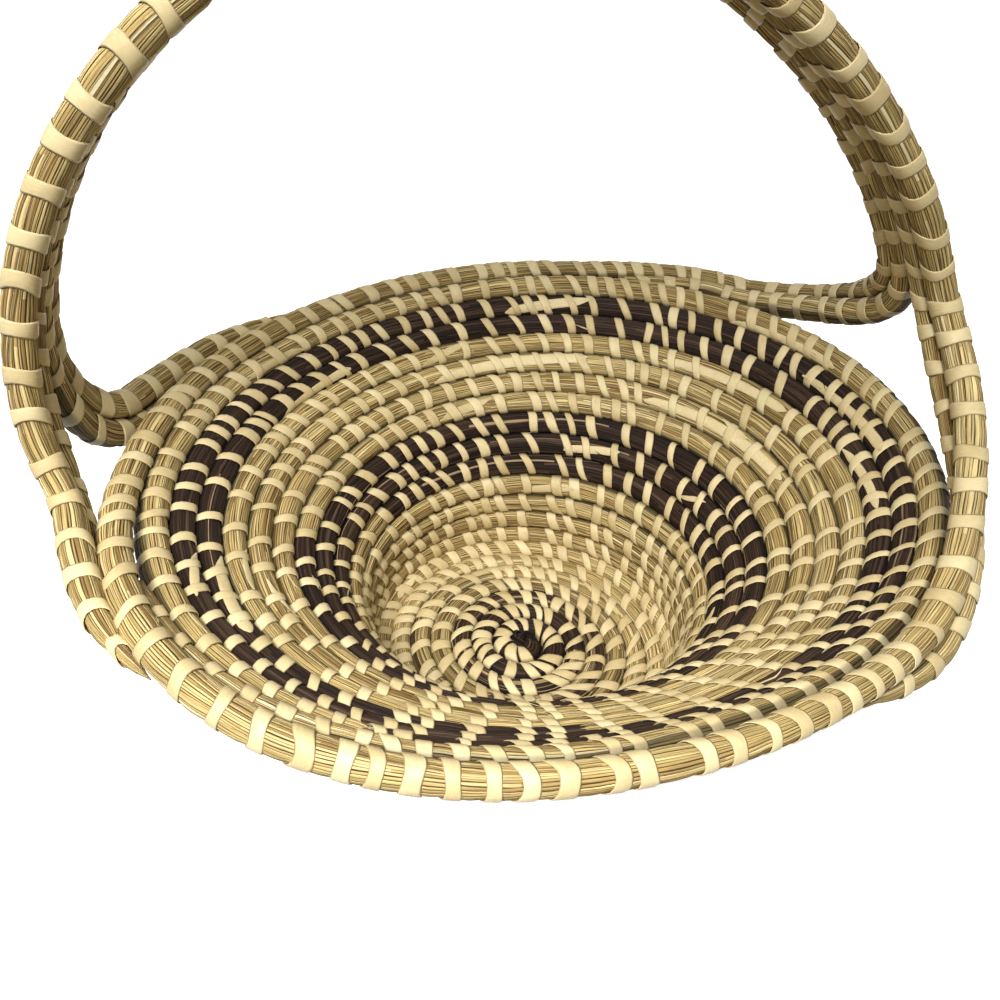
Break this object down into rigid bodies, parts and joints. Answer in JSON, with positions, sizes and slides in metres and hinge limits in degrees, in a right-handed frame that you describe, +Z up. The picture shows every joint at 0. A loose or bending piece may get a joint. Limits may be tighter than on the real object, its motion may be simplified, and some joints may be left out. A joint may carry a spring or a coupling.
{
  "type": "handled basket",
  "caption": "Flared round basket of coiled, sewn grass rows with dark bands and a rigid overhead handle.",
  "frame": {"origin": "on the table under the knot at the centre of the base", "axes": "+Z up, the handle stands in the XZ plane, +Y towards the rim's high back side"},
  "size_m": [0.2546, 0.2254, 0.2285],
  "materials": {
    "sweetgrass": "dry grass bundles, sewn with paler palmetto strips",
    "dark_grass": "dark brown grass or needles, sewn with paler palmetto strips"
  },
  "bodies": {
    "root": {"base_coil": "sweetgrass", "lower_wall_coil": "sweetgrass", "middle_wall_coil": "sweetgrass", "upper_wall_coil": "sweetgrass", "rim_coil": "sweetgrass", "handle_row_back_outer": "sweetgrass", "handle_row_back_inner": "sweetgrass", "handle_row_front_inner": "sweetgrass", "handle_row_front_outer": "sweetgrass", "centre_knot": "dark_grass", "core_coil": "dark_grass", "lower_dark_band": "dark_grass", "upper_dark_band": "dark_grass"}
  },
  "joints": []
}
